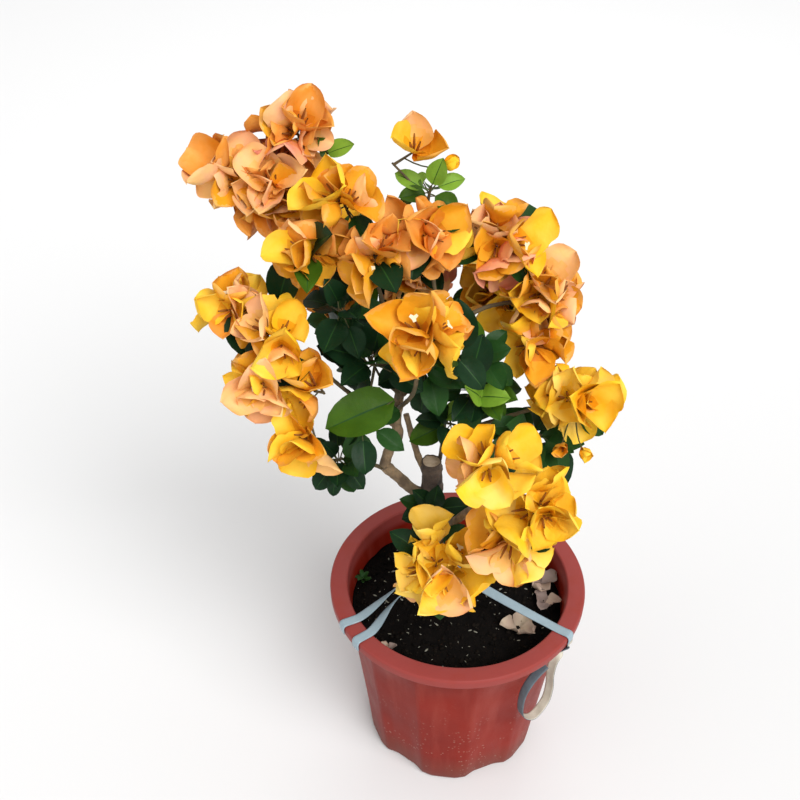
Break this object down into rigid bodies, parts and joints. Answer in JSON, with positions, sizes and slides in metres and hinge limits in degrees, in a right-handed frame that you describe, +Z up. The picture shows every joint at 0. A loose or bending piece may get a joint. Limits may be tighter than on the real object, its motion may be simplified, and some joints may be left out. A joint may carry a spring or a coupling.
{
  "type": "potted bougainvillea shrub",
  "caption": "Flowering shrub in a round plastic pot: short cut trunk, thin arching boughs, papery orange and gold bracts in loose masses, dark leaves, flat strapping tied over the rim.",
  "frame": {"origin": "middle of the pot's flat underside", "axes": "+Z up along the pot's axis; +Y from the viewer's side to the back; +X to the viewer's right"},
  "size_m": [0.375, 0.3396, 0.6984],
  "materials": {
    "pot_plastic": "brick-red moulded plastic, weathered, slightly glossy",
    "potting_soil": "moist dark potting mix with pale specks",
    "strap_plastic": "thin pale blue-grey packing strap",
    "old_bark": "grey-brown rough bark",
    "bark": "tan-brown smooth bark",
    "leaf": "dark green, slightly glossy leaf",
    "gold_bract": "golden yellow papery bract",
    "orange_bract": "orange papery bract with pink edges"
  },
  "bodies": {
    "root": {"blossom_centre": "orange_bract", "blossom_far_right": "gold_bract", "blossom_front": "gold_bract", "blossom_left": "orange_bract", "blossom_low_front": "gold_bract", "blossom_low_right": "gold_bract", "blossom_right": "orange_bract", "blossom_top_left": "orange_bract", "blossom_top_shoot": "gold_bract", "bough_crown_left": "bark", "bough_crown_right": "bark", "bough_front": "bark", "bough_left_high": "bark", "bough_left_low": "bark", "bough_shoot": "bark", "bough_stub": "bark", "bough_to_blossom_centre": "bark", "bough_to_blossom_far_right": "bark", "bough_to_blossom_front": "bark", "bough_to_blossom_left": "bark", "bough_to_blossom_low_front": "bark", "bough_to_blossom_low_right": "bark", "bough_to_blossom_right": "bark", "bough_to_blossom_top_left": "bark", "bough_to_blossom_top_shoot": "bark", "bough_to_crown_back": "bark", "bough_to_crown_back_left": "bark", "bough_to_crown_back_right": "bark", "bough_to_leaves_inside": "bark", "bough_to_leaves_left_shoot": "bark", "bough_to_leaves_low": "bark", "bough_to_leaves_low_right": "bark", "bough_to_leaves_right": "bark", "crown_back": "orange_bract", "crown_back_left": "orange_bract", "crown_back_right": "gold_bract", "leaves_inside": "leaf", "leaves_left_shoot": "leaf", "leaves_low": "leaf", "leaves_low_right": "leaf", "leaves_right": "leaf", "pot": "pot_plastic", "soil": "potting_soil", "strap_long": "strap_plastic", "strap_loop": "strap_plastic", "strap_short": "strap_plastic", "trunk": "old_bark"}
  },
  "joints": []
}
